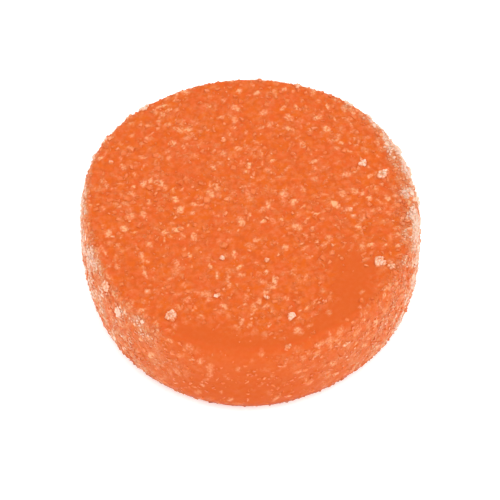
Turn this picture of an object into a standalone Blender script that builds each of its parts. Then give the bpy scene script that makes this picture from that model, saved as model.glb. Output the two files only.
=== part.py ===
"""A round fruit gummy: one chewy disc, flat above and below, rounded at its edges, out to its sugar coat."""
import math

import bmesh
import bpy

# Driving dimensions, in metres
DIAMETER = 0.0240
THICKNESS = 0.0080
WIDEST_HEIGHT = 0.0037
SHOULDER_WIDTH = 0.0010
FOOT_WIDTH = 0.0015

# How square the rounded edges are: 2 is an ellipse, more is fuller
EDGE_FULLNESS = 2.8

# The disc is a little out of round: lobes round the outline, share of the radius, direction in degrees
LOBES = (
    (2, 0.002, -49.0),
    (3, 0.012, 27.0),
    (4, 0.007, 59.0),
    (6, 0.003, 36.0),
)

# How finely the surface is cut
TURN_STEPS = 96
SHOULDER_STEPS = 9
FOOT_STEPS = 9
MERGE_DISTANCE = 0.000001
SHARP_ANGLE = math.radians(40)

# The jelly's finish
JELLY_COLOUR = (0.84, 0.19, 0.05, 1.0)
JELLY_ROUGHNESS = 0.5


def clear_scene():
    """Removes the objects that a new file starts with."""
    for item in list(bpy.data.objects):
        bpy.data.objects.remove(item, do_unlink=True)


def rounded_edge(width, height, steps):
    """A full, rounded edge as pairs: how far it is in from the side, and its share of the height used up.

    It starts upright at the side and ends level, at the flat face.
    """
    points = []
    for step in range(steps + 1):
        angle = math.pi / 2 * step / steps
        inset = width * (1 - math.cos(angle) ** (2 / EDGE_FULLNESS))
        climb = height * math.sin(angle) ** (2 / EDGE_FULLNESS)
        points.append((inset, climb))
    return points


def side_profile():
    """Radius and height of the side, from the underside's edge up to the top's edge."""
    radius = DIAMETER / 2
    foot = rounded_edge(FOOT_WIDTH, WIDEST_HEIGHT, FOOT_STEPS)
    shoulder = rounded_edge(SHOULDER_WIDTH, THICKNESS - WIDEST_HEIGHT, SHOULDER_STEPS)
    points = [(radius - inset, WIDEST_HEIGHT - climb) for inset, climb in reversed(foot)]
    points += [(radius - inset, WIDEST_HEIGHT + climb) for inset, climb in shoulder[1:]]
    return points


def outline_factor(turn):
    """How far the outline reaches in one direction, as a share of a true circle's radius."""
    factor = 1.0
    for count, share, direction in LOBES:
        factor += share * math.cos(count * (turn - math.radians(direction)))
    return factor


def spin_side(mesh):
    """Turns the side's profile once round the upright axis."""
    points = [mesh.verts.new((radius, 0.0, height)) for radius, height in side_profile()]
    edges = [mesh.edges.new(pair) for pair in zip(points, points[1:])]
    bmesh.ops.spin(
        mesh,
        geom=points + edges,
        cent=(0.0, 0.0, 0.0),
        axis=(0.0, 0.0, 1.0),
        angle=2 * math.pi,
        steps=TURN_STEPS,
        use_merge=True,
    )
    bmesh.ops.remove_doubles(mesh, verts=mesh.verts, dist=MERGE_DISTANCE)


def close_flat_faces(mesh):
    """Fills the round openings left at the top and the underside with flat faces."""
    rims = [edge for edge in mesh.edges if edge.is_boundary]
    bmesh.ops.holes_fill(mesh, edges=rims, sides=TURN_STEPS)
    bmesh.ops.recalc_face_normals(mesh, faces=mesh.faces)


def make_uneven(mesh):
    """Gives the turned disc its uneven outline, then centres it over the origin."""
    for vertex in mesh.verts:
        factor = outline_factor(math.atan2(vertex.co.y, vertex.co.x))
        vertex.co.x *= factor
        vertex.co.y *= factor
    across = [vertex.co.x for vertex in mesh.verts]
    along = [vertex.co.y for vertex in mesh.verts]
    middle_x = (min(across) + max(across)) / 2
    middle_y = (min(along) + max(along)) / 2
    for vertex in mesh.verts:
        vertex.co.x -= middle_x
        vertex.co.y -= middle_y


def jelly_material():
    """The orange fruit jelly."""
    material = bpy.data.materials.new("jelly")
    material.use_nodes = True
    finish = material.node_tree.nodes["Principled BSDF"]
    finish.inputs["Base Color"].default_value = JELLY_COLOUR
    finish.inputs["Roughness"].default_value = JELLY_ROUGHNESS
    finish.inputs["Metallic"].default_value = 0.0
    return material


def make_gummy():
    """The whole sweet, standing on its flat underside."""
    mesh = bmesh.new()
    spin_side(mesh)
    close_flat_faces(mesh)
    make_uneven(mesh)
    data = bpy.data.meshes.new("gummy")
    mesh.to_mesh(data)
    mesh.free()
    data.shade_smooth()
    data.set_sharp_from_angle(angle=SHARP_ANGLE)
    data.materials.append(jelly_material())
    gummy = bpy.data.objects.new("gummy", data)
    bpy.context.scene.collection.objects.link(gummy)


def main():
    clear_scene()
    make_gummy()


main()
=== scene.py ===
"""The looks of one round sugar-coated fruit gummy: the orange jelly and the sugar crystals stuck to it."""
import math
from itertools import combinations

import bmesh
import bpy
import numpy as np
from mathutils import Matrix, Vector, noise
from mathutils.kdtree import KDTree


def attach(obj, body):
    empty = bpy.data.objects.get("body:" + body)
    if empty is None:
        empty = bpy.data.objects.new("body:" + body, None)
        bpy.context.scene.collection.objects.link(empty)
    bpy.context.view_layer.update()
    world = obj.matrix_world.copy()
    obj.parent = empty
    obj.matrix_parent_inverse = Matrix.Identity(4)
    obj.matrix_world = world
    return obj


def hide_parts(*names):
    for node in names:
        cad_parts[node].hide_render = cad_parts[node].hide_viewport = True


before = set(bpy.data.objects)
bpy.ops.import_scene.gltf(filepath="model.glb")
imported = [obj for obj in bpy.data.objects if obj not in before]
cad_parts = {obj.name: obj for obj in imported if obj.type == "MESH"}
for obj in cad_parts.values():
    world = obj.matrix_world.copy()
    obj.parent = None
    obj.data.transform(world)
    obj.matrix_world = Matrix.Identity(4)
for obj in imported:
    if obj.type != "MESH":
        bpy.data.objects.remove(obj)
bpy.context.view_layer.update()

SEED = 20
MM = 0.001

# The disc's form, as its solid has it
DIAMETER = 24.0 * MM
THICKNESS = 8.0 * MM
WIDEST_HEIGHT = 3.7 * MM
SHOULDER_WIDTH = 1.0 * MM
FOOT_WIDTH = 1.5 * MM
EDGE_FULLNESS = 2.8
LOBES = (
    (2, 0.002, -49.0),
    (3, 0.012, 27.0),
    (4, 0.007, 59.0),
    (6, 0.003, 36.0),
)
TOP_RADIUS = DIAMETER / 2 - SHOULDER_WIDTH
UNDERSIDE_RADIUS = DIAMETER / 2 - FOOT_WIDTH

# The jelly lies this far inside the sugar's outer faces, and less where no sugar sticks
SUGAR_DEPTH = 0.16 * MM
BARE_DEPTH = 0.07 * MM
# A crystal may stand this far out of the solid's outline, and further where the sugar makes a fringe
MOST_OUT = 0.10 * MM
LEAST_OUT = 0.02 * MM
FRINGE_OUT = 0.14 * MM

# How finely the form is worked out, and how far up and down its slope is taken over
PROFILE_STEPS = 60
OUTLINE_STEPS = 720
GIRTH_STEPS = 4000
SLOPE_STEP = 0.15 * MM


# The form

def rounded_edge(width, height, steps):
    """Points of a full, rounded edge: how far in from the side, and how far towards the flat face."""
    angle = np.linspace(0, math.pi / 2, steps)
    inset = width * (1 - np.abs(np.cos(angle)) ** (2 / EDGE_FULLNESS))
    climb = height * np.abs(np.sin(angle)) ** (2 / EDGE_FULLNESS)
    return inset, climb


def make_profile():
    """Radius and height from the underside's middle, out over the side and in to the top's middle."""
    foot_in, foot_down = rounded_edge(FOOT_WIDTH, WIDEST_HEIGHT, PROFILE_STEPS)
    shoulder_in, shoulder_up = rounded_edge(SHOULDER_WIDTH, THICKNESS - WIDEST_HEIGHT, PROFILE_STEPS)
    radius = DIAMETER / 2 - np.concatenate([foot_in[::-1], shoulder_in[1:]])
    height = WIDEST_HEIGHT + np.concatenate([-foot_down[::-1], shoulder_up[1:]])
    radius = np.concatenate([[0.0], radius, [0.0]])
    height = np.concatenate([[0.0], height, [THICKNESS]])
    return radius, height


PROFILE_RADIUS, PROFILE_HEIGHT = make_profile()
STEPS_OUT, STEPS_UP = np.diff(PROFILE_RADIUS), np.diff(PROFILE_HEIGHT)
PROFILE_RUN = np.concatenate([[0.0], np.cumsum(np.hypot(STEPS_OUT, STEPS_UP))])
WHOLE_RUN = PROFILE_RUN[-1]


def profile_radius(run):
    """The form's radius at a run up it, before the outline makes it uneven."""
    return np.interp(run, PROFILE_RUN, PROFILE_RADIUS)


def profile_height(run):
    """The form's height at a run up it."""
    return np.interp(run, PROFILE_RUN, PROFILE_HEIGHT)


def outline_factor(turn):
    """How far the outline reaches in one direction, as a share of a true circle's radius."""
    factor = np.ones_like(turn)
    for count, share, direction in LOBES:
        factor += share * np.cos(count * (turn - math.radians(direction)))
    return factor


def outline_middle():
    """The middle of the uneven outline's box, which the solid has over its origin."""
    turn = np.linspace(0, 2 * math.pi, OUTLINE_STEPS)
    reach = DIAMETER / 2 * outline_factor(turn)
    x, y = reach * np.cos(turn), reach * np.sin(turn)
    return (x.min() + x.max()) / 2, (y.min() + y.max()) / 2


MIDDLE_X, MIDDLE_Y = outline_middle()


def on_form(turn, run):
    """Places on the form and the directions straight out of it, at a turn round it and a run up it."""
    ahead, behind = np.minimum(run + SLOPE_STEP, WHOLE_RUN), np.maximum(run - SLOPE_STEP, 0.0)
    along_out = profile_radius(ahead) - profile_radius(behind)
    along_up = profile_height(ahead) - profile_height(behind)
    length = np.hypot(along_out, along_up)
    radius = profile_radius(run) * outline_factor(turn)
    height = profile_height(run)
    place = np.stack([radius * np.cos(turn) - MIDDLE_X, radius * np.sin(turn) - MIDDLE_Y, height], axis=-1)
    level = along_up / length
    outward = np.stack([level * np.cos(turn), level * np.sin(turn), -along_out / length], axis=-1)
    return place, outward


# Where the sugar sticks

# A track where the sugar is rubbed off, round the top's front, from the left rim inwards to the right
RUBBED_FROM, RUBBED_TO = math.radians(246), math.radians(325)
RUBBED_RADIUS_LEFT, RUBBED_RADIUS_RIGHT = 11.15 * MM, 8.5 * MM
RUBBED_HALF_WIDTH = 0.88 * MM
RUBBED_DEPTH = 1.5 * MM
# How far from the track, in half widths, the rubbing fades out, and the wear of the wall's sugar after it
RUBBED_EDGE = (0.2, 1.8)
WORN_EDGE = (1.5, 4.5)
# The wall's front, where little sugar sticks: how far it reaches left and right, and how much is missing
THIN_TURN = math.radians(264)
THIN_LEFT, THIN_RIGHT = math.radians(20), math.radians(36)
THIN_LOSS = 0.93
# Between these radii the flat faces go over into the wall, and patches shift them by up to about this much
WALL_FROM, WALL_TO = 11.0 * MM, 11.8 * MM
WALL_SHIFT = 0.3 * MM
# Patches on the wall come out taller than wide by this
WALL_SQUEEZE = 0.75
# Each of these lists has turns in degrees, how far round each reaches, and how strong it is
# The sides of the wall where the sugar is thickest
PALE_SIDES = ((177, 28, 1.1), (206, 14, 0.2), (232, 14, 0.42), (-2, 38, 0.95), (27, 17, 1.85))
# Where the wall's sugar reaches in over the top, in mm
REACH_IN = ((180, 50, 0.08), (4, 44, 1.1))
# Where the sugar makes a rough fringe on the rim
FRINGES = ((146, 14, 1.0), (184, 28, 0.6), (56, 12, 0.8), (6, 20, 0.6))
# The wall's front, where the sugar has gone by melting, and where the jelly's foot is painted darker as
# shade
MELTED_AND_SHADED_FRONT = ((268, 42, 1.0),)
# The heights between which the melting, and the painted shade at the foot, grows to its full, downwards
MELTED_FROM, MELTED_TO = 8.2 * MM, 3.0 * MM
# The radius where the pale frost starts, how far out it grows to its full, and its share of the reach in
FROST_FROM, FROST_GROWTH = 10.0 * MM, 1.8 * MM
FROST_REACH = 0.35


def smooth_step(low, high, value):
    """Goes softly from 0 to 1 as the value goes from low to high. Low may be the larger of the two."""
    share = np.clip((value - low) / (high - low), 0, 1)
    return share * share * (3 - 2 * share)


def wander(places, size, pattern):
    """Soft, random values between about -1 and 1, in patches of a size in metres.

    The pattern is a number that picks one of many such sets of patches.
    """
    shift = Vector((pattern, -pattern, 2 * pattern))
    return np.array([noise.noise(Vector(place) / size + shift) for place in places])


def turn_of(places):
    """The direction of each place round the upright axis, from 0 up to a whole turn."""
    return np.arctan2(places[:, 1] + MIDDLE_Y, places[:, 0] + MIDDLE_X) % (2 * math.pi)


def round_the_rim(places, parts):
    """How strong a thing is at each place, for one of the lists of turns, reaches and strengths."""
    strength = np.zeros(len(places))
    for turn, reach, amount in parts:
        past = (np.degrees(turn_of(places)) - turn + 180) % 360 - 180
        strength += amount * np.exp(-((past / reach) ** 2))
    return strength


def hanging(places):
    """The places with their heights closer together, which makes patches on the wall taller than wide."""
    return places * np.array([1.0, 1.0, WALL_SQUEEZE])


def radius_of(places):
    """How far each place is from the upright axis, as it would be on a truly round disc."""
    return np.hypot(places[:, 0] + MIDDLE_X, places[:, 1] + MIDDLE_Y) / outline_factor(turn_of(places))


def on_wall(places):
    """0 on the flat faces and 1 on the wall, which the wall's sugar reaches over at both sides."""
    radius = radius_of(places) + round_the_rim(places, REACH_IN) * MM
    radius = radius + WALL_SHIFT * wander(places, 0.8 * MM, pattern=11.0)
    return smooth_step(WALL_FROM, WALL_TO, radius)


def from_track(places):
    """How far each place is from the middle of the rubbed track, in about half the track's width.

    The track is wide at the left, narrow in the middle and widest at the right.
    """
    turn = turn_of(places)
    share = np.clip((turn - RUBBED_FROM) / (RUBBED_TO - RUBBED_FROM), 0, 1)
    middle = RUBBED_RADIUS_LEFT + (RUBBED_RADIUS_RIGHT - RUBBED_RADIUS_LEFT) * share ** 4
    radius = np.hypot(places[:, 0] + MIDDLE_X, places[:, 1] + MIDDLE_Y)
    past_end = np.maximum(np.maximum(RUBBED_FROM - turn, turn - RUBBED_TO), 0) * radius
    widened = np.cos(math.pi * (1.3 * share - 0.2)) ** 2
    width = RUBBED_HALF_WIDTH * (0.5 + 0.85 * widened + 0.6 * share ** 2)
    distance = np.hypot(radius - middle, past_end) / width
    distance = np.hypot(distance, (THICKNESS - places[:, 2]) / RUBBED_DEPTH)
    distance = distance + 0.5 * wander(places, 0.9 * MM, pattern=7.0)
    return distance + 0.4 * wander(places, 0.3 * MM, pattern=12.0)


def rubbed(places):
    """How far the sugar is rubbed off, from 0 to 1, along the track on the top's front."""
    return 1 - smooth_step(*RUBBED_EDGE, from_track(places))


def worn(places):
    """How far the wall's sugar is worn thin beside the rubbed track, from 0 to 1."""
    return 1 - smooth_step(*WORN_EDGE, from_track(places))


def wall_sugar(places):
    """How much sugar sticks to the wall, from 0 to 1: little at the front, much at both sides."""
    past = (turn_of(places) - THIN_TURN + math.pi) % (2 * math.pi) - math.pi
    reach = np.where(past < 0, THIN_LEFT, THIN_RIGHT)
    return 1 - THIN_LOSS * np.exp(-((past / reach) ** 2))


def flat_patches(places):
    """Denser and barer patches of sugar on the flat faces, from 0 to 1."""
    drift = wander(places, 1.1 * MM, pattern=3.0) + 0.5 * wander(places, 3.2 * MM, pattern=9.0)
    return smooth_step(-0.45, 0.5, drift)


def rough_sides(places):
    """How rough the sugar is, from 0 to 1: least on the wall's front and back."""
    rough = np.maximum(np.cos(turn_of(places)) ** 2, np.clip(round_the_rim(places, FRINGES), 0, 1))
    return 1 - on_wall(places) * (1 - rough)


def most_out(places):
    """How far a crystal may stand out of the solid's outline."""
    fringe = on_wall(places) * round_the_rim(places, FRINGES)
    return LEAST_OUT + (MOST_OUT - LEAST_OUT) * rough_sides(places) + FRINGE_OUT * fringe


def wall_patches(places):
    """Denser and barer patches of sugar on the wall, from 0 up to 1.5."""
    places = hanging(places)
    drift = 0.55 + 2.0 * wander(places, 1.0 * MM, pattern=6.0) + wander(places, 0.45 * MM, pattern=8.0)
    return np.clip(drift, 0.0, 1.5)


def melted_sugar_and_foot_shade(places):
    """How far the sugar has gone by melting, from 0 to 1: most at the foot of the wall's front. The same
    mask paints shade there: the jelly is coloured darker.
    """
    low = smooth_step(MELTED_FROM, MELTED_TO, places[:, 2])
    return on_wall(places) * round_the_rim(places, MELTED_AND_SHADED_FRONT) * low


def frost_cover(places):
    """Fine sugar on the wall."""
    cover = 0.2 + 0.7 * wall_patches(places) + 0.3 * round_the_rim(places, PALE_SIDES)
    cover *= on_wall(places) * wall_sugar(places) * (1 - 0.6 * melted_sugar_and_foot_shade(places))
    return cover * (1 - rubbed(places))


def speck_cover(places):
    """Fine sugar on the flat faces, and what little there is on the front wall."""
    cover = (1 - on_wall(places)) * (0.05 + 0.25 * flat_patches(places)) + 0.03 * on_wall(places)
    return cover * (1 - rubbed(places))


def crystal_cover(places):
    """Full-grown crystals."""
    wall = on_wall(places)
    cover = (1 - wall) * (0.1 + 0.7 * flat_patches(places)) + wall * (0.04 + 0.56 * wall_sugar(places))
    return cover * (1 - rubbed(places))


def soaked_cover(places):
    """Crystals that have soaked in."""
    return crystal_cover(places) * (1 - 0.6 * melted_sugar_and_foot_shade(places))


def underside_shade_mask(places, outward):
    """How far the foot of the wall turns down to the floor, from 0 to 1. This masks painted shade: the
    jelly and the sugar are coloured darker there, as shade from the floor.
    """
    facing_down = smooth_step(-0.12, -0.5, outward[:, 2])
    off_the_floor = smooth_step(0.0, 0.3 * MM, places[:, 2])
    return facing_down * off_the_floor


def clear_jelly(places):
    """How clear and deep the jelly looks, from 0 to 1: most where it is rubbed and at the wall's front."""
    bare = np.maximum(1 - wall_sugar(places), melted_sugar_and_foot_shade(places))
    return np.maximum(rubbed(places), 0.85 * on_wall(places) * bare)


def clump_cover(places):
    """Clumps of crystals on the wall's back and the underside. The front's clumps are placed one by one."""
    behind = smooth_step(2 * MM, 6 * MM, places[:, 1])
    low = smooth_step(6 * MM, 4.5 * MM, places[:, 2])
    underside = places[:, 2] < 0.05 * MM
    return 0.5 * np.maximum(behind * low, underside) * crystal_cover(places)


def frosting(places):
    """How pale the sugar makes a place on the wall, from 0 to 1.5, in drifting patches."""
    patches = wall_patches(places)
    radius = radius_of(places) + FROST_REACH * round_the_rim(places, REACH_IN) * MM
    outermost = np.clip((radius - FROST_FROM) / FROST_GROWTH, 0, 1)
    pale = 0.4 * patches + round_the_rim(places, PALE_SIDES) * (0.5 + 0.65 * patches) * outermost ** 2
    pale *= wall_sugar(places) * (1 - 0.85 * melted_sugar_and_foot_shade(places)) * (1 - 0.6 * worn(places))
    return on_wall(places) * (1 - rubbed(places)) * np.clip(pale, 0, 1.5)


# Meshes

def new_piece(name, vertices, faces, material):
    """A mesh object with its material, riding on the sweet."""
    data = bpy.data.meshes.new(name)
    data.from_pydata(vertices, [], faces)
    data.materials.append(material)
    piece = bpy.data.objects.new(name, data)
    bpy.context.scene.collection.objects.link(piece)
    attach(piece, "root")
    return piece


def set_values(piece, name, values):
    """Gives each vertex a number that the material reads by name."""
    layer = piece.data.attributes.new(name, "FLOAT", "POINT")
    layer.data.foreach_set("value", np.ascontiguousarray(values, dtype=np.float32))


# How finely the jelly is cut: cells across each flat face, and rows up the wall
FLAT_CELLS = 168
WALL_ROWS = 60
MERGE_DISTANCE = 0.001 * MM


def square_to_disc(u, v):
    """Spreads a square's places evenly over a round face."""
    x = u * np.sqrt(1 - v * v / 2)
    y = v * np.sqrt(1 - u * u / 2)
    return np.arctan2(y, x) % (2 * math.pi), np.hypot(x, y)


def grid_faces(rows, columns, first, closed=False, flipped=False):
    """Four-sided faces between the points of a grid that is stored row by row."""
    faces = []
    for row in range(rows - 1):
        for column in range(columns if closed else columns - 1):
            after = (column + 1) % columns
            low, high = first + row * columns, first + (row + 1) * columns
            corners = (low + column, low + after, high + after, high + column)
            faces.append(corners[::-1] if flipped else corners)
    return faces


def fine_form():
    """The whole form as an even, fine mesh: turn and run of each point, and the faces."""
    steps = np.linspace(-1, 1, FLAT_CELLS + 1)
    v, u = np.meshgrid(steps, steps, indexing="ij")
    flat_turn, flat_share = square_to_disc(u.ravel(), v.ravel())
    edge = steps[:-1]
    ones = np.ones_like(edge)
    rim_turn, _ = square_to_disc(
        np.concatenate([ones, -edge, -ones, edge]),
        np.concatenate([edge, ones, -edge, -ones]),
    )
    wall_run = np.linspace(UNDERSIDE_RADIUS, WHOLE_RUN - TOP_RADIUS, WALL_ROWS + 1)
    wall_turn = np.tile(rim_turn, WALL_ROWS + 1)
    turn = np.concatenate([flat_turn, wall_turn, flat_turn])
    run = np.concatenate([
        flat_share * UNDERSIDE_RADIUS,
        np.repeat(wall_run, len(rim_turn)),
        WHOLE_RUN - flat_share * TOP_RADIUS,
    ])
    side = FLAT_CELLS + 1
    faces = grid_faces(side, side, 0, flipped=True)
    faces += grid_faces(WALL_ROWS + 1, len(rim_turn), side * side, closed=True)
    faces += grid_faces(side, side, side * side + len(wall_turn))
    return turn, run, faces


def soaked_crystals(random, places):
    """How far soaked-in crystals lift each place of the jelly, from 0 to 1, and how pale they make it."""
    finder = KDTree(len(places))
    for index, place in enumerate(places):
        finder.insert(place, index)
    finder.balance()
    height, paleness = np.zeros(len(places)), np.zeros(len(places))
    ragged = np.stack([wander(places, 0.2 * MM, pattern) for pattern in (13.0, 14.0, 15.0)], axis=1)
    ragged_places = places + 0.12 * MM * ragged
    centres, outward = on_form(*scatter(random, soaked_cover, tries=30000, spacing=0.5 * MM))
    for centre, out in zip(centres, outward):
        along = np.cross(out, random.normal(size=3))
        along /= np.linalg.norm(along)
        half_length = random.uniform(0.15, 0.45) * MM
        half_width = half_length * random.uniform(0.3, 0.75)
        near = finder.find_range(centre, 1.5 * half_length / WALL_SQUEEZE)
        if not near:
            continue
        found = [index for _, index, _ in near]
        offset = hanging(ragged_places[found] - centre)
        reach = np.hypot(offset @ along / half_length, offset @ np.cross(out, along) / half_width)
        swell = smooth_step(1.12, 0.55, reach)
        height[found] = np.maximum(height[found], swell * random.uniform(0.4, 1.0))
        paleness[found] = np.maximum(paleness[found], swell * random.beta(0.9, 1.9))
    return height, paleness


def make_jelly(material):
    """The chewy disc, with the bumps and pale flecks of the sugar that has soaked in."""
    random = np.random.default_rng(SEED + 1)
    turn, run, faces = fine_form()
    places, outward = on_form(turn, run)
    bare = rubbed(places)
    soaked, paleness = soaked_crystals(random, places)
    bumps = 0.025 * wander(places, 0.45 * MM, pattern=2.0) + 0.015 * wander(places, 0.25 * MM, pattern=5.0)
    relief = bumps + 0.05 * soaked
    rise = BARE_DEPTH * -bare - SUGAR_DEPTH * (1 - bare)
    rise += 0.03 * MM * wander(places, 3.5 * MM, pattern=1.0) + relief * MM * (1 - 0.8 * bare)
    jelly = new_piece("jelly_disc", places + outward * rise[:, None], faces, material)
    clear = clear_jelly(places)
    # Painted shade where the foot turns down to the floor: darker jelly, with fewer pale flecks and less
    # frost
    under_shade = underside_shade_mask(places, outward)
    set_values(jelly, "fleck", paleness * (1 - 0.6 * clear) * (1 - 0.6 * under_shade))
    set_values(jelly, "frosting", frosting(places) * (1 - 0.6 * under_shade))
    set_values(jelly, "under_shade", under_shade)
    set_values(jelly, "clear", clear)
    set_values(jelly, "melted_sugar_and_foot_shade", melted_sugar_and_foot_shade(places))
    mesh = bmesh.new()
    mesh.from_mesh(jelly.data)
    bmesh.ops.remove_doubles(mesh, verts=mesh.verts, dist=MERGE_DISTANCE)
    mesh.to_mesh(jelly.data)
    mesh.free()
    jelly.data.shade_smooth()
    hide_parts("gummy")


# Sugar crystals

# Each kind of crystal comes in this many shapes
CRYSTAL_SHAPES = 14
BOX_SIDES = 6
# In a crystal about 1 across: planes must cross more than this, and corners nearer than this are one
LEAST_CROSSING = 0.01
CORNER_GAP = 0.03
ROUNDING = 1e-9
# Faces that differ by less than this angle are joined
SAME_PLANE_ANGLE = math.radians(4)
# A crystal's rise is measured by at least this height
LEAST_HEIGHT = 0.05 * MM


def crystal_shape(random, cuts):
    """A blocky crystal about 1 across: a box with corners and edges split off by flat planes."""
    half = np.array([random.uniform(0.85, 1.0), random.uniform(0.65, 0.95), random.uniform(0.45, 0.8)]) / 2
    splits = random.normal(size=(cuts, 3))
    splits /= np.linalg.norm(splits, axis=1)[:, None]
    normals = np.concatenate([np.eye(3), -np.eye(3), splits])
    reach = np.abs(normals) @ half
    reach[BOX_SIDES:] *= random.uniform(0.62, 0.86, cuts)
    points = []
    for planes in combinations(range(len(normals)), 3):
        sides = normals[list(planes)]
        if abs(np.linalg.det(sides)) < LEAST_CROSSING:
            continue
        point = np.linalg.solve(sides, reach[list(planes)])
        apart = all(np.linalg.norm(point - other) > CORNER_GAP for other in points)
        if apart and (normals @ point < reach + ROUNDING).all():
            points.append(point)
    return fan_faces(np.array(points))


def fan_faces(points):
    """Splits each face round its middle.

    Returns the points with the middles added, the triangles, and each middle's direction out of its face,
    which is nought for the corners.
    """
    hull = hull_faces(points)
    middles = np.array([points[face].mean(axis=0) for face in hull])
    directions = np.array([np.cross(points[b] - points[a], points[c] - points[a]) for a, b, c, *_ in hull])
    directions /= np.linalg.norm(directions, axis=1)[:, None]
    triangles = []
    for number, face in enumerate(hull):
        middle = len(points) + number
        triangles += [(first, second, middle) for first, second in zip(face, face[1:] + face[:1])]
    return np.concatenate([points, middles]), triangles, np.concatenate([np.zeros_like(points), directions])


def hull_faces(points):
    """The flat faces round a convex set of points."""
    mesh = bmesh.new()
    for point in points:
        mesh.verts.new(point)
    mesh.verts.index_update()
    bmesh.ops.convex_hull(mesh, input=mesh.verts)
    bmesh.ops.dissolve_limit(mesh, angle_limit=SAME_PLANE_ANGLE, verts=mesh.verts, edges=mesh.edges)
    bmesh.ops.recalc_face_normals(mesh, faces=mesh.faces)
    faces = [[vertex.index for vertex in face.verts] for face in mesh.faces]
    mesh.free()
    return faces


def random_turns(random, count):
    """Evenly random rotations, one matrix for each crystal."""
    quarters = random.normal(size=(count, 4))
    w, x, y, z = (quarters / np.linalg.norm(quarters, axis=1)[:, None]).T
    rows = np.array([
        [1 - 2 * (y * y + z * z), 2 * (x * y - z * w), 2 * (x * z + y * w)],
        [2 * (x * y + z * w), 1 - 2 * (x * x + z * z), 2 * (y * z - x * w)],
        [2 * (x * z - y * w), 2 * (y * z + x * w), 1 - 2 * (x * x + y * y)],
    ])
    return rows.transpose(2, 0, 1)


def scatter(random, cover, tries, spacing):
    """Turns and runs of scattered crystals, kept with the chance that their cover gives and set apart."""
    run_steps = np.linspace(0, WHOLE_RUN, GIRTH_STEPS)
    girth = np.cumsum(profile_radius(run_steps))
    run = np.interp(random.uniform(0, girth[-1], tries), girth, run_steps)
    turn = random.uniform(0, 2 * math.pi, tries)
    places, _ = on_form(turn, run)
    chosen = random.uniform(size=tries) < cover(places)
    turn, run, places = turn[chosen], run[chosen], places[chosen]
    taken = {}
    kept = []
    for index, place in enumerate(places):
        i, j, k = (place // spacing).astype(int)
        around = [
            other
            for a in (i - 1, i, i + 1)
            for b in (j - 1, j, j + 1)
            for c in (k - 1, k, k + 1)
            for other in taken.get((a, b, c), ())
        ]
        if all(((place - places[other]) ** 2).sum() > spacing * spacing for other in around):
            taken.setdefault((i, j, k), []).append(index)
            kept.append(index)
    return turn[kept], run[kept]


def make_crystals(name, random, material, turn, run, sizes, sunk, pale, cuts):
    """Joins crystals of mixed shapes into one piece. Each is sunk by a share of its height."""
    shapes = [crystal_shape(random, cuts) for _ in range(CRYSTAL_SHAPES)]
    places, outward = on_form(turn, run)
    depth = SUGAR_DEPTH + (BARE_DEPTH - SUGAR_DEPTH) * rubbed(places)
    farthest = most_out(places)
    frosted = frosting(places)
    # Painted shade on crystals where the foot turns down to the floor
    under_shade = underside_shade_mask(places, outward)
    shown = (1 - sunk) * (0.55 + 0.45 * rough_sides(places))
    rotations = random_turns(random, len(turn))
    kinds = random.integers(len(shapes), size=len(turn))
    vertices, faces, rises, tints, painted_glints, under_shades = [], [], [], [], [], []
    first = 0
    for index, kind in enumerate(kinds):
        points, corners, directions = shapes[kind]
        turned = points @ rotations[index].T * sizes[index]
        height = turned @ outward[index]
        above = (height.max() - height.min()) * shown[index]
        top = min(above - depth[index], farthest[index])
        shift = top - height.max()
        placed = places[index] + turned + outward[index] * shift
        placed[:, 2] = np.clip(placed[:, 2], 0.0, None)
        vertices.append(placed)
        rises.append((height + shift + depth[index]) / max(above, LEAST_HEIGHT))
        tints.append(np.full(len(points), pale[index]))
        under_shades.append(np.full(len(points), under_shade[index]))
        # Painted glints: a face's middle is paler the more the face looks out of the jelly, by a random
        # amount, and the corners stay orange, standing in for light that the clear crystal reflects and
        # lets through
        facing = np.clip(directions @ rotations[index].T @ outward[index], 0, 1)
        inner = (directions != 0).any(axis=1)
        painted_glint = (0.25 * inner + 0.75 * facing) * random.uniform(0.6, 1.0, len(points))
        painted_glints.append(np.maximum(painted_glint, frosted[index]))
        faces += [[first + corner for corner in face] for face in corners]
        first += len(points)
    piece = new_piece(name, np.concatenate(vertices), faces, material)
    set_values(piece, "rise", np.concatenate(rises))
    set_values(piece, "pale", np.concatenate(tints))
    set_values(piece, "painted_glint", np.concatenate(painted_glints))
    set_values(piece, "under_shade", np.concatenate(under_shades))


# Materials

# The mix node's sockets for colours
MIX_FIRST, MIX_SECOND, MIX_RESULT = 6, 7, 2


def node_material(name):
    """A new material, its node tree and its shader."""
    material = bpy.data.materials.new(name)
    material.use_nodes = True
    tree = material.node_tree
    return material, tree, tree.nodes["Principled BSDF"]


def attribute_value(tree, name):
    """The numbers that the piece's vertices were given by set_values."""
    node = tree.nodes.new("ShaderNodeAttribute")
    node.attribute_name = name
    return node.outputs["Fac"]


def noise_value(tree, size, detail=3.0):
    """Cloudy values between 0 and 1, in patches of a size in metres, fixed to the object."""
    node = tree.nodes.new("ShaderNodeTexNoise")
    node.inputs["Scale"].default_value = 1 / size
    node.inputs["Detail"].default_value = detail
    squeeze = tree.nodes.new("ShaderNodeVectorMath")
    squeeze.operation = "MULTIPLY"
    squeeze.inputs[1].default_value = (1.0, 1.0, WALL_SQUEEZE)
    tree.links.new(tree.nodes.new("ShaderNodeTexCoord").outputs["Object"], squeeze.inputs[0])
    tree.links.new(squeeze.outputs["Vector"], node.inputs["Vector"])
    return node.outputs["Fac"]


def span(tree, value, low, high, to_low, to_high):
    """Maps values between low and high to values between to_low and to_high."""
    node = tree.nodes.new("ShaderNodeMapRange")
    node.interpolation_type = "SMOOTHSTEP"
    for key, number in (("From Min", low), ("From Max", high), ("To Min", to_low), ("To Max", to_high)):
        node.inputs[key].default_value = number
    tree.links.new(value, node.inputs["Value"])
    return node.outputs["Result"]


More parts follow.
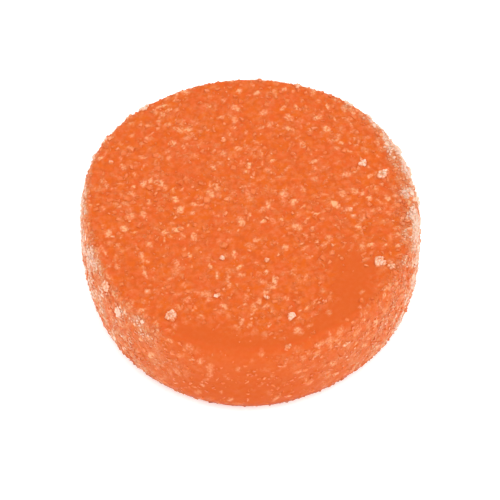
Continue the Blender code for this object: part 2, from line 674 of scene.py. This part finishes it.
def combine(tree, operation, a, b):
    """Arithmetic on two values. Each is a number or a socket."""
    node = tree.nodes.new("ShaderNodeMath")
    node.operation = operation
    for value, socket in ((a, node.inputs[0]), (b, node.inputs[1])):
        if isinstance(value, (int, float)):
            socket.default_value = value
        else:
            tree.links.new(value, socket)
    return node.outputs["Value"]


def product(tree, first, *others):
    """Two or more values multiplied. Each is a number or a socket."""
    for other in others:
        first = combine(tree, "MULTIPLY", first, other)
    return first


def colours(tree, value, stops):
    """Colours along a value from 0 to 1."""
    node = tree.nodes.new("ShaderNodeValToRGB")
    elements = node.color_ramp.elements
    while len(elements) < len(stops):
        elements.new(0.5)
    for element, (place, colour) in zip(elements, stops):
        element.position = place
        element.color = (*colour, 1.0)
    tree.links.new(value, node.inputs["Fac"])
    return node.outputs["Color"]


def mixed(tree, share, first, second):
    """Goes from the first colour or socket to the second one as the share goes from 0 to 1."""
    node = tree.nodes.new("ShaderNodeMix")
    node.data_type = "RGBA"
    tree.links.new(share, node.inputs["Factor"])
    for colour, socket in ((first, node.inputs[MIX_FIRST]), (second, node.inputs[MIX_SECOND])):
        if isinstance(colour, tuple):
            socket.default_value = (*colour, 1.0)
        else:
            tree.links.new(colour, socket)
    return node.outputs[MIX_RESULT]


WARM_JELLY = (0.62, 0.111, 0.011)
ROSY_JELLY = (0.62, 0.104, 0.020)
DEEP_JELLY = (0.555, 0.095, 0.015)
CLEAR_JELLY = (0.578, 0.10, 0.016)
# Painted shade: the jelly at the foot of the wall's front, darker as if less light reached it
SHADED_FOOT_JELLY = (0.525, 0.08, 0.006)
# Painted shade: darker jelly and sugar where the wall's foot turns down to the floor
PAINTED_SHADE_UNDER_JELLY = (0.31, 0.043, 0.006)
PAINTED_SHADE_UNDER_SUGAR = (0.42, 0.12, 0.045)
MELTED_SUGAR = (0.76, 0.38, 0.195)
MELTED_FROST = (0.60, 0.30, 0.16)
THICK_FROST = (0.64, 0.42, 0.32)
SOAKED_SUGAR = (0.63, 0.12, 0.02)
PEACH_SUGAR = (0.68, 0.19, 0.062)
PALE_SUGAR = (0.74, 0.30, 0.15)
WHITE_SUGAR = (0.86, 0.53, 0.40)
ROSY_FROST = (0.61, 0.185, 0.074)
PALE_FROST = (0.63, 0.31, 0.175)
WHITE_FROST = (0.74, 0.47, 0.36)
FLOOR_WHITE = (0.98, 0.98, 0.98)
FLOOR_SHADE = (0.97, 0.97, 0.97)
WHITE_LIGHT = (1.0, 1.0, 1.0, 1.0)


def jelly_material():
    """Orange fruit jelly: cloudy, a little shiny, paler where sugar has gone into it by melting, and darker
    with painted shade at the foot of the wall's front and where the foot turns down to the floor.
    """
    material, tree, finish = node_material("orange_jelly")
    drift = span(tree, noise_value(tree, 1.1 * MM), 0.35, 0.65, 0.0, 1.0)
    jelly = mixed(tree, drift, WARM_JELLY, ROSY_JELLY)
    depths = span(tree, noise_value(tree, 0.4 * MM, detail=4.0), 0.4, 0.7, 0.0, 1.0)
    jelly = mixed(tree, depths, jelly, DEEP_JELLY)
    jelly = mixed(tree, attribute_value(tree, "clear"), jelly, CLEAR_JELLY)
    # Painted shade at the foot of the wall's front, where the sugar has also gone by melting
    jelly = mixed(tree, attribute_value(tree, "melted_sugar_and_foot_shade"), jelly, SHADED_FOOT_JELLY)
    # Painted shade where the foot turns down to the floor
    jelly = mixed(tree, attribute_value(tree, "under_shade"), jelly, PAINTED_SHADE_UNDER_JELLY)
    mottle = span(tree, noise_value(tree, 0.3 * MM, detail=4.0), 0.4, 0.75, 0.0, 0.16)
    haze = product(tree, mottle, span(tree, attribute_value(tree, "clear"), 0.0, 1.0, 1.0, 0.2))
    crumbs = span(tree, noise_value(tree, 0.15 * MM, detail=2.0), 0.35, 0.65, 0.35, 1.15)
    fleck = product(tree, attribute_value(tree, "fleck"), crumbs, 1.2)
    frost = product(tree, attribute_value(tree, "frosting"), crumbs, 0.8)
    jelly = mixed(tree, combine(tree, "ADD", haze, fleck), jelly, MELTED_SUGAR)
    thick = span(tree, attribute_value(tree, "frosting"), 0.6, 1.4, 0.0, 1.0)
    frosted = mixed(tree, thick, MELTED_FROST, THICK_FROST)
    tree.links.new(mixed(tree, frost, jelly, frosted), finish.inputs["Base Color"])
    tree.links.new(span(tree, mottle, 0.0, 0.16, 0.45, 0.65), finish.inputs["Roughness"])
    finish.inputs["Subsurface Weight"].default_value = 0.6
    finish.inputs["Subsurface Radius"].default_value = (1.0, 0.3, 0.12)
    finish.inputs["Subsurface Scale"].default_value = 0.3 * MM
    finish.inputs["Specular IOR Level"].default_value = 0.05
    return material


def sugar_material(name, middle, pale, white):
    """Sugar soaked orange at its foot and paler to white at its tips. Painted glints make the middles of
    faces that look out of the jelly paler, and leave the faces' edges and sideways faces orange, standing
    in for light that the clear crystal reflects and lets through.
    """
    material, tree, finish = node_material(name)
    clouds = span(tree, noise_value(tree, 0.14 * MM), 0.35, 0.7, 1.0, 0.65)
    tip = span(tree, attribute_value(tree, "rise"), 0.0, 0.8, 0.3, 1.0)
    # Painted glints on the crystals' faces
    painted_glint = span(tree, attribute_value(tree, "painted_glint"), 0.0, 1.0, 0.4, 1.0)
    # The soaked tip together with the painted glints
    lit = product(tree, tip, painted_glint)
    shade = product(tree, attribute_value(tree, "pale"), clouds, lit)
    stops = ((0.0, SOAKED_SUGAR), (0.35, middle), (0.65, pale), (1.0, white))
    # Painted shade where the foot turns down to the floor
    sugar = mixed(tree, attribute_value(tree, "under_shade"), colours(tree, shade, stops), PAINTED_SHADE_UNDER_SUGAR)
    tree.links.new(sugar, finish.inputs["Base Color"])
    tree.links.new(span(tree, clouds, 0.65, 1.0, 0.45, 0.25), finish.inputs["Roughness"])
    finish.inputs["Subsurface Weight"].default_value = 0.5
    finish.inputs["Subsurface Radius"].default_value = (1.0, 0.6, 0.4)
    finish.inputs["Subsurface Scale"].default_value = 0.1 * MM
    finish.inputs["Specular IOR Level"].default_value = 0.15
    return material


def floor_material():
    """A plain pale floor, lit a little from below as a light table is."""
    material, tree, finish = node_material("pale_floor")
    clouds = noise_value(tree, 40 * MM)
    floor = colours(tree, clouds, ((0.0, FLOOR_SHADE), (1.0, FLOOR_WHITE)))
    tree.links.new(floor, finish.inputs["Base Color"])
    finish.inputs["Roughness"].default_value = 0.9
    finish.inputs["Specular IOR Level"].default_value = 0.0
    finish.inputs["Emission Color"].default_value = WHITE_LIGHT
    finish.inputs["Emission Strength"].default_value = 0.25
    return material


# The pieces

# Clumps that stand out: the turn in degrees, how far from the top's middle and how wide in mm, and how pale
CLUMPS = (
    (239.0, 10.15, 0.95, 1.1),
    (287.3, 9.22, 0.60, 1.35),
    (25.5, 8.70, 0.60, 1.4),
    (17.0, 9.60, 0.85, 1.1),
    (333.2, 9.84, 0.95, 1.25),
    (333.3, 10.7, 0.60, 0.9),
    (212.0, 12.0, 0.95, 1.0),
    (220.5, 12.9, 0.90, 1.0),
    (285.0, 4.43, 0.35, 1.1),
    (245.7, 4.52, 0.35, 1.1),
    (252.8, 7.37, 0.40, 1.4),
    (278.9, 7.37, 0.40, 1.1),
    (303.3, 9.19, 0.35, 0.9),
    (282.5, 11.4, 0.50, 0.7),
    (292.9, 12.1, 0.50, 0.7),
    (303.3, 13.4, 0.60, 0.8),
    (299.3, 16.6, 0.60, 0.7),
    (131.0, 11.4, 0.90, 1.4),
    (137.0, 11.8, 0.60, 1.2),
    (150.0, 11.8, 0.80, 1.4),
    (156.0, 12.2, 0.60, 1.2),
    (72.0, 11.3, 0.60, 1.0),
    (52.0, 11.4, 0.80, 1.3),
    (44.0, 11.8, 0.80, 1.2),
    (27.0, 12.0, 0.90, 1.5),
    (18.0, 12.3, 0.80, 1.4),
    (6.0, 12.4, 0.80, 1.3),
)
# The width of the scattered clumps
SCATTERED_CLUMP = 0.5 * MM
# How many crystals a clump 1 mm wide has, and how far from its middle they reach, as a share of its width
CLUMP_FILL = 20
CLUMP_REACH = 0.37
# Clumps near the upright axis are packed as if they were this far from it
LEAST_RADIUS = 1 * MM
# No crystal of a clump lies nearer than this to the middle of the top or the underside
END_GAP = 0.1 * MM
GOLDEN_ANGLE = math.pi * (3 - math.sqrt(5))


def clump_members(random, turn, run, width):
    """Turns and runs of the crystals that make up one clump, packed closely from its middle outwards."""
    count = max(2, round(CLUMP_FILL * (width / MM) ** 2))
    radius = max(profile_radius(run), LEAST_RADIUS)
    member = np.arange(count)
    angle = GOLDEN_ANGLE * member + random.uniform(0, 2 * math.pi)
    reach = CLUMP_REACH * width * np.sqrt(member / count) * random.uniform(0.75, 1.2, count)
    return turn + reach * np.cos(angle) / radius, run + reach * np.sin(angle)


def make_clumps(random, material):
    """The clumps of crystals, scattered ones first and then those that are placed one by one."""
    turn, run = scatter(random, clump_cover, tries=1500, spacing=1.5 * MM)
    clumps = [(*pair, SCATTERED_CLUMP, random.uniform(0.6, 1.8)) for pair in zip(turn, run)]
    for degrees, distance, width, pale in CLUMPS:
        clumps.append((math.radians(degrees), WHOLE_RUN - distance * MM, width * MM, pale))
    turns, runs, pales = [], [], []
    for turn, run, width, pale in clumps:
        member_turns, member_runs = clump_members(random, turn, run, width)
        turns.append(member_turns)
        runs.append(np.clip(member_runs, END_GAP, WHOLE_RUN - END_GAP))
        pales.append(pale * random.uniform(1.45, 1.95, len(member_turns)))
    pales = np.concatenate(pales)
    make_crystals(
        "sugar_clumps", random, material, np.concatenate(turns), np.concatenate(runs),
        sizes=random.uniform(0.24, 0.36, len(pales)) * MM,
        sunk=random.uniform(0.3, 0.55, len(pales)),
        pale=pales,
        cuts=6,
    )


def make_sugar():
    """The fine frost on the wall, the specks on the flat faces, the full-grown crystals, and the clumps."""
    random = np.random.default_rng(SEED)
    sugar = sugar_material("sugar_crystal", PEACH_SUGAR, PALE_SUGAR, WHITE_SUGAR)
    frost = sugar_material("sugar_frost", ROSY_FROST, PALE_FROST, WHITE_FROST)

    turn, run = scatter(random, frost_cover, tries=50000, spacing=0.18 * MM)
    count = len(turn)
    make_crystals(
        "sugar_frost", random, frost, turn, run,
        sizes=random.uniform(0.14, 0.3, count) * MM,
        sunk=random.uniform(0.45, 0.8, count),
        pale=1.1 * frosting(on_form(turn, run)[0]) + 0.9 * random.beta(0.8, 2.2, count),
        cuts=1,
    )
    turn, run = scatter(random, speck_cover, tries=30000, spacing=0.2 * MM)
    count = len(turn)
    make_crystals(
        "sugar_specks", random, sugar, turn, run,
        sizes=random.uniform(0.13, 0.26, count) * MM,
        sunk=random.uniform(0.7, 0.92, count),
        pale=0.45 + 1.1 * random.beta(1.0, 2.5, count),
        cuts=1,
    )
    turn, run = scatter(random, crystal_cover, tries=9000, spacing=0.42 * MM)
    count = len(turn)
    make_crystals(
        "sugar_crystals", random, sugar, turn, run,
        sizes=random.uniform(0.28, 0.5, count) * MM,
        sunk=random.uniform(0.65, 0.9, count),
        pale=0.4 + 0.6 * frosting(on_form(turn, run)[0]) + 1.2 * random.beta(1.0, 2.5, count),
        cuts=4,
    )
    make_clumps(random, sugar)


make_jelly(jelly_material())
make_sugar()


# Floor, light and camera

FLOOR_HALF_SIDE = 1.5
CAMERA_ELEVATION = math.radians(56.5)
CAMERA_DISTANCE = 160 * MM
# The photo's side in pixels, its scale, and where the sweet's middle lies in it
PICTURE_SIDE = 500
PIXELS_PER_MM = 14.27
SWEET_IN_PICTURE = (250.0, 240.7)
# The width of the camera's sensor, in mm
SENSOR = 36.0


def make_floor():
    """A wide, plain floor under the sweet."""
    half = FLOOR_HALF_SIDE
    corners = [(-half, -half, 0), (half, -half, 0), (half, half, 0), (-half, half, 0)]
    data = bpy.data.meshes.new("floor")
    data.from_pydata(corners, [], [(0, 1, 2, 3)])
    data.materials.append(floor_material())
    floor = bpy.data.objects.new("floor", data)
    bpy.context.scene.collection.objects.link(floor)


def make_light(name, place, size, watts):
    """A large, soft studio lamp that faces the sweet."""
    data = bpy.data.lights.new(name, "AREA")
    data.shape = "DISK"
    data.size = size
    data.energy = watts
    lamp = bpy.data.objects.new(name, data)
    bpy.context.scene.collection.objects.link(lamp)
    lamp.location = place
    lamp.rotation_euler = (-Vector(place)).to_track_quat("-Z", "Y").to_euler()


def make_world():
    """Even white light from all round."""
    world = bpy.data.worlds.new("studio")
    bpy.context.scene.world = world
    world.use_nodes = True
    background = world.node_tree.nodes["Background"]
    background.inputs["Color"].default_value = WHITE_LIGHT
    background.inputs["Strength"].default_value = 1.0


def make_camera():
    """Looks down at the sweet from the front, so that it fills the picture as in the photo."""
    data = bpy.data.cameras.new("camera")
    data.sensor_width = SENSOR
    data.lens = PIXELS_PER_MM / MM * CAMERA_DISTANCE / PICTURE_SIDE * SENSOR
    data.clip_start, data.clip_end = 0.01, 10
    right = (PICTURE_SIDE / 2 - SWEET_IN_PICTURE[0]) / PIXELS_PER_MM * MM
    down = (PICTURE_SIDE / 2 - SWEET_IN_PICTURE[1]) / PIXELS_PER_MM * MM
    back = Vector((0, -math.cos(CAMERA_ELEVATION), math.sin(CAMERA_ELEVATION)))
    up = Vector((0, math.sin(CAMERA_ELEVATION), math.cos(CAMERA_ELEVATION)))
    camera = bpy.data.objects.new("camera", data)
    bpy.context.scene.collection.objects.link(camera)
    camera.location = Vector((right, 0, THICKNESS / 2)) - up * down + back * CAMERA_DISTANCE
    camera.rotation_euler = (-back).to_track_quat("-Z", "Y").to_euler()
    bpy.context.scene.camera = camera


make_floor()
make_world()
make_light("key", place=(-0.15, -0.2, 0.5), size=0.5, watts=1.05)
make_light("fill", place=(0.3, -0.14, 0.45), size=0.5, watts=0.98)
make_camera()
bpy.context.scene.view_settings.view_transform = "Standard"
